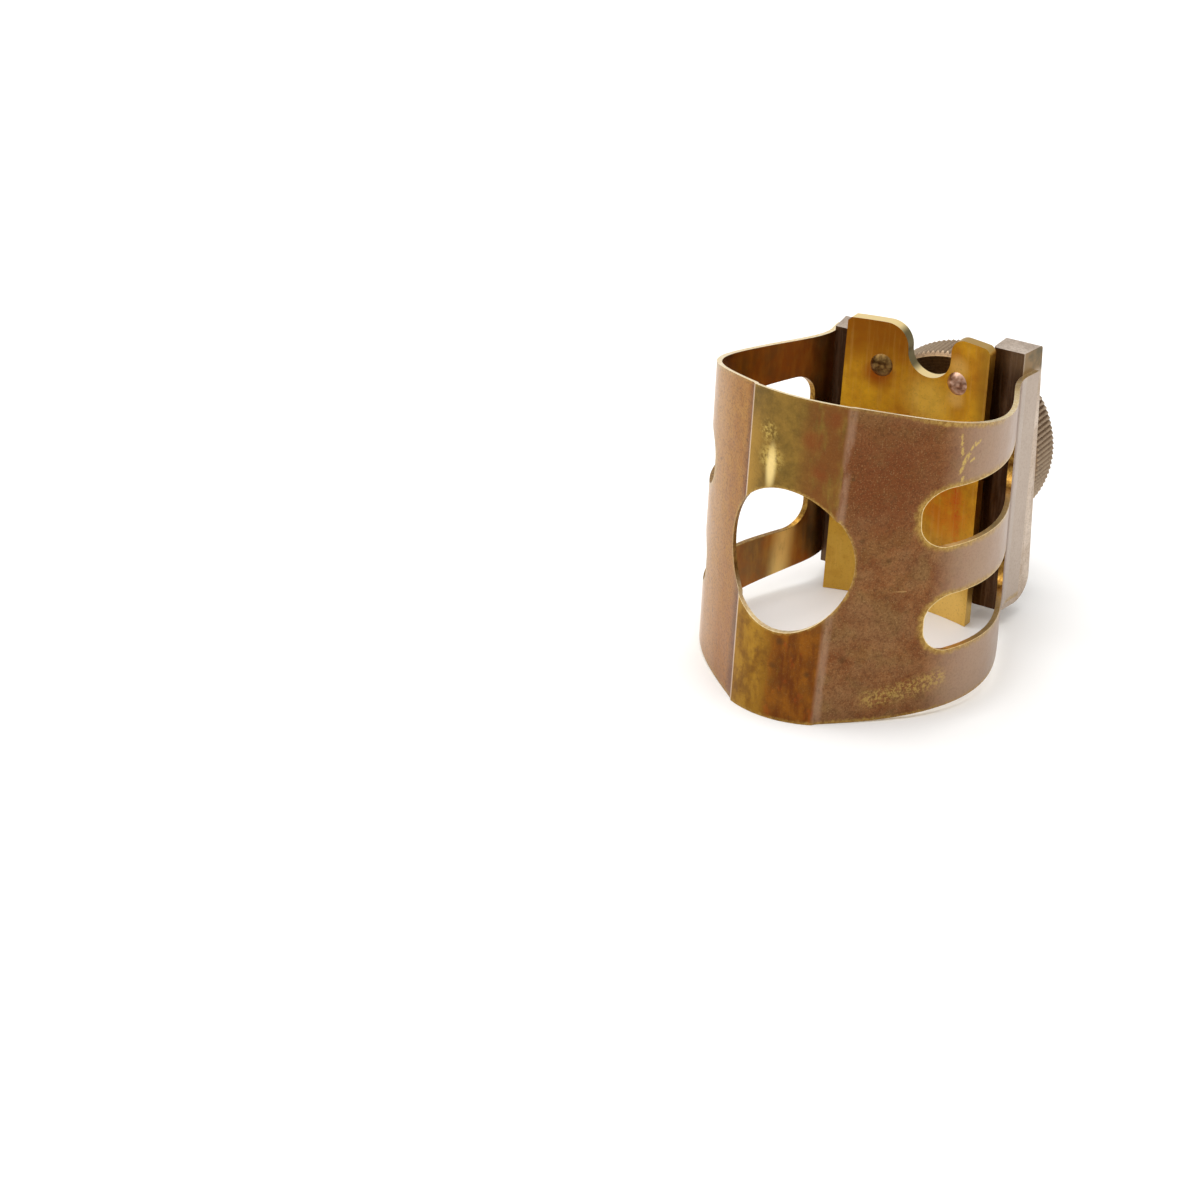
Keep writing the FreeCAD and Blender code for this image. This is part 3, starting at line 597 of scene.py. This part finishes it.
# painted reflection: a pale golden glow above the right rivet and a bright streak below it
painted_rivet_glow = calc(bench, "MAXIMUM", spot_mark(bench, place, (3.7, PLATE_Y, 24.2), 1.5),
                  spot_mark(bench, place, (3.7, PLATE_Y, 21.3), 1.3))
golden = over(bench, calc(bench, "MULTIPLY", painted_rivet_glow, 0.55), golden, tone(246, 204, 116))
high = calc(bench, "MULTIPLY", fade(bench, z, 20.5, 25.0), fade(bench, x, 3.5, -1.5))
golden = over(bench, calc(bench, "MULTIPLY", high, 0.75), golden, tone(158, 92, 22))
orange = calc(bench, "MULTIPLY", spot_mark(bench, place, (3.6, PLATE_Y, 10.5), 4.0),
              fade(bench, cloud(bench, place, 1.4, 3.0, 0.6), 0.3, 0.6))
golden = over(bench, calc(bench, "MULTIPLY", orange, 0.75), golden, tone(220, 126, 36))
for start, end, width in RED_STREAKS:
    red = calc(bench, "MULTIPLY", stroke(bench, place, start, end, width), fade(bench, specks, 0.3, 0.6))
    golden = over(bench, calc(bench, "MULTIPLY", red, 0.8), golden, tone(208, 78, 34))
pale_foot = spot_mark(bench, place, (4.6, PLATE_Y, 1.4), 4.2)
golden = over(bench, calc(bench, "MULTIPLY", pale_foot, 0.8), golden, tone(244, 208, 120))
polish = calc(bench, "MULTIPLY", fade(bench, strokes, 0.5, 0.7), 0.15)
golden = over(bench, polish, golden, tone(238, 196, 110))
specked = calc(bench, "MULTIPLY", fade(bench, specks, 0.46, 0.34), 0.22)
golden = over(bench, specked, golden, tone(140, 94, 38))
cut = fade(bench, facing[2], 0.35, 0.7)
left_bright = over(bench, fade(bench, x, 2.6, 3.4), tone(232, 208, 150), tone(172, 138, 70))
golden = over(bench, cut, golden, left_bright)
notch_side = calc(bench, "MULTIPLY", fade(bench, facing[0], 0.45, 0.8), fade(bench, x, 4.5, 4.0))
golden = over(bench, notch_side, golden, tone(104, 92, 58))
bench.links.new(golden, skin.inputs["Base Color"])
bench.links.new(calc(bench, "ADD", calc(bench, "MULTIPLY", stain, 0.16), 0.34), skin.inputs["Roughness"])
relief(bench, skin, calc(bench, "ADD", calc(bench, "MULTIPLY", strokes, 0.4), specks), 0.005)
for name in ("pressure_plate", "plate_strap"):
    dress(name, gold)
print("plate finish steps:", len(bench.nodes))

# %% [markdown]
# ## Rivets: domed heads
# The two heads are hammered to domes and stand proud of the plate. The left one has stayed brown and
# the right one has been rubbed to a pinkish grey, so one finish holds both tones and picks by side. Each
# keeps a dark ring of dirt where it meets the plate.

# %% Rivet finish
dome, bench, skin = new_finish("rubbed_dome", 1.0, 0.35)
place, xyz, facing = whereabouts(bench)
smear = cloud(bench, place, 0.5, 4.0, 0.65)
dull = over(bench, fade(bench, smear, 0.35, 0.65), tone(92, 66, 34), tone(138, 108, 62))
pink = over(bench, fade(bench, smear, 0.35, 0.65), tone(150, 108, 84), tone(200, 164, 142))
colour = over(bench, fade(bench, xyz[0], -0.1, 0.1), dull, pink)
ring = fade(bench, calc(bench, "ABSOLUTE", facing[1]), 0.72, 0.5)
colour = over(bench, calc(bench, "MULTIPLY", ring, 0.6), colour, tone(96, 62, 28))
bench.links.new(colour, skin.inputs["Base Color"])
bench.links.new(calc(bench, "ADD", calc(bench, "MULTIPLY", smear, 0.25), 0.2), skin.inputs["Roughness"])
relief(bench, skin, smear, 0.006)
for name in ("rivet_left", "rivet_right"):
    dress(name, dome)
print("rivet finish steps:", len(bench.nodes))

# %% [markdown]
# ## Thumbscrew: knurled head
# The head is turned on a lathe and knurled so that fingers grip it. Grime stays at the bottom of the
# grooves and the crests are polished by use. The faces show faint rings from the lathe tool, so the
# pattern there depends only on the distance from the screw's own axis.

# %% Screw finish
turned, bench, skin = new_finish("turned_screw", 1.0, 0.38)
place, xyz, facing = whereabouts(bench)
x, y, z = xyz
SCREW_Z = 13.3
HEAD_R = 8.85
SHANK_EDGE_R = (2.3, 2.1)
SHANK_END_Y = (22.9, 22.6)
FACE_RINGS = 21.0
FINE_RINGS = 42.0
dz = calc(bench, "SUBTRACT", z, SCREW_Z)
square = calc(bench, "ADD", calc(bench, "MULTIPLY", x, x), calc(bench, "MULTIPLY", dz, dz))
radius = calc(bench, "SQRT", square)
grime = cloud(bench, place, 2.2, 4.0, 0.6)
specks = cloud(bench, place, 0.25, 3.0, 0.6)
crest = fade(bench, radius, HEAD_R - 0.24, HEAD_R - 0.02)
knurl = over(bench, crest, tone(134, 110, 86), tone(170, 148, 122))
face = over(bench, fade(bench, grime, 0.3, 0.75), tone(150, 122, 84), tone(120, 96, 70))
wave = calc(bench, "ADD", calc(bench, "MULTIPLY", radius, FACE_RINGS), calc(bench, "MULTIPLY", grime, 3.0))
lathe_mark = calc(bench, "MULTIPLY", fade(bench, calc(bench, "SINE", wave), 0.3, 1.0), 0.25)
face = over(bench, lathe_mark, face, tone(184, 156, 116))
colour = over(bench, fade(bench, radius, HEAD_R - 0.5, HEAD_R - 0.3), face, knurl)
colour = over(bench, calc(bench, "MULTIPLY", fade(bench, specks, 0.5, 0.36), 0.35), colour, tone(70, 50, 32))
shank = calc(bench, "MULTIPLY", fade(bench, radius, *SHANK_EDGE_R), fade(bench, y, *SHANK_END_Y))
colour = over(bench, shank, colour, tone(176, 140, 74))
bench.links.new(colour, skin.inputs["Base Color"])
rings = calc(bench, "SINE", calc(bench, "MULTIPLY", radius, FINE_RINGS))
bench.links.new(calc(bench, "ADD", calc(bench, "MULTIPLY", grime, 0.22), 0.26), skin.inputs["Roughness"])
relief(bench, skin, calc(bench, "ADD", calc(bench, "MULTIPLY", rings, 0.25), specks), 0.01)
for name in ("screw_head", "screw_shank", "screw_button"):
    dress(name, turned)
print("screw finish steps:", len(bench.nodes))
